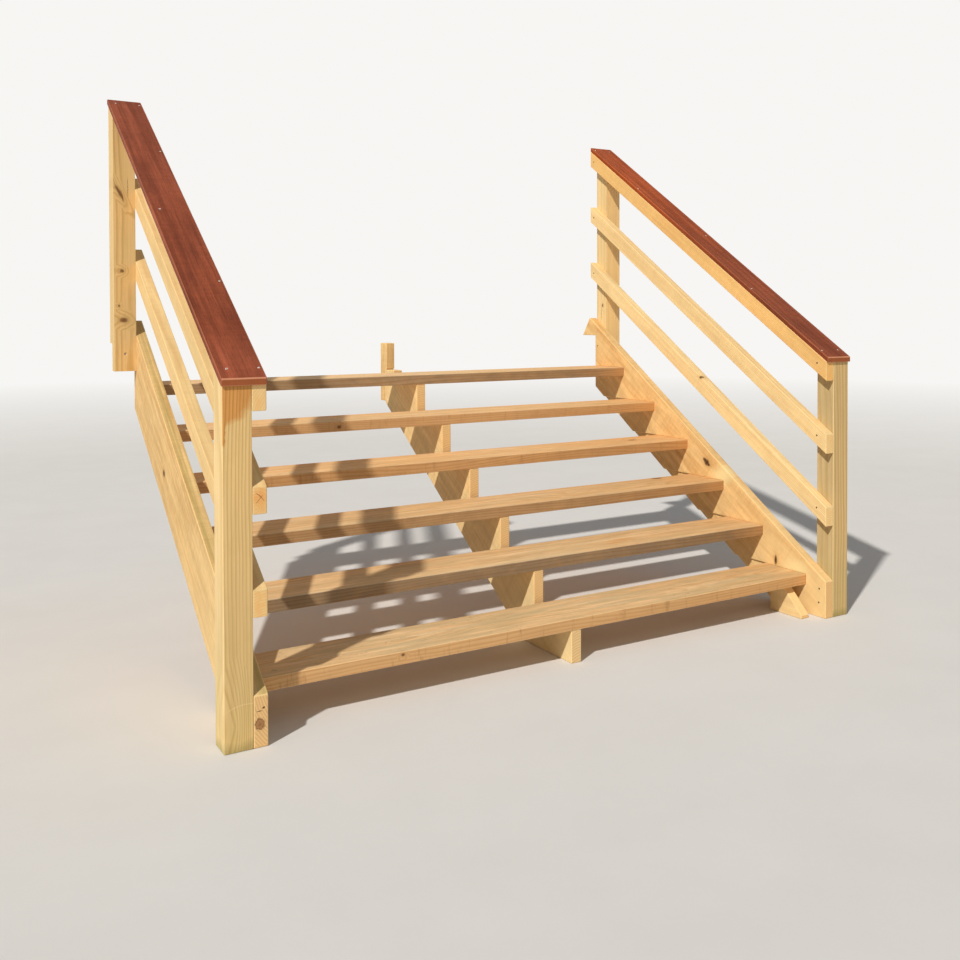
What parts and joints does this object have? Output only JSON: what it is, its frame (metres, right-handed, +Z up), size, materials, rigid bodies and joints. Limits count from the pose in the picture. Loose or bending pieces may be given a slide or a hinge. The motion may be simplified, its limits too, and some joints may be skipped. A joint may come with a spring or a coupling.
{
  "type": "wooden deck stairs",
  "caption": "Wide open-riser timber stair up to a raised deck, with trenched side stringers, a saw-tooth centre stringer, square posts, sloping rails and hardwood handrails.",
  "frame": {"origin": "on the front face of the centre hanger, at the mid-height of the rim beam that it bears on, midway between the two stringers", "axes": "+X to the right across the flight, seen by someone who climbs it; +Y forwards in the climbing direction, towards the deck; +Z up"},
  "size_m": [2.71, 1.814, 2.2283],
  "materials": {
    "pale_pine": "sawn and dressed, pale green-yellow treated softwood, matt",
    "post_pine": "dressed, pale green-yellow treated softwood, matt",
    "tread_pine": "dressed, honey-coloured treated softwood, matt",
    "rail_pine": "dressed, straw-coloured treated softwood, matt",
    "red_hardwood": "oiled red-brown hardwood, semi-gloss"
  },
  "bodies": {
    "root": {"left_stringer": "pale_pine", "right_stringer": "pale_pine", "centre_stringer": "pale_pine", "centre_hanger": "pale_pine", "right_foot_block": "pale_pine", "left_bottom_post": "post_pine", "right_bottom_post": "post_pine", "left_top_post": "post_pine", "right_top_post": "post_pine", "tread_1": "tread_pine", "tread_2": "tread_pine", "tread_3": "tread_pine", "tread_4": "tread_pine", "tread_5": "tread_pine", "tread_6": "tread_pine", "left_lower_rail": "rail_pine", "left_middle_rail": "rail_pine", "left_top_rail": "rail_pine", "right_lower_rail": "rail_pine", "right_middle_rail": "rail_pine", "right_top_rail": "rail_pine", "left_handrail": "red_hardwood", "right_handrail": "red_hardwood"}
  },
  "joints": []
}
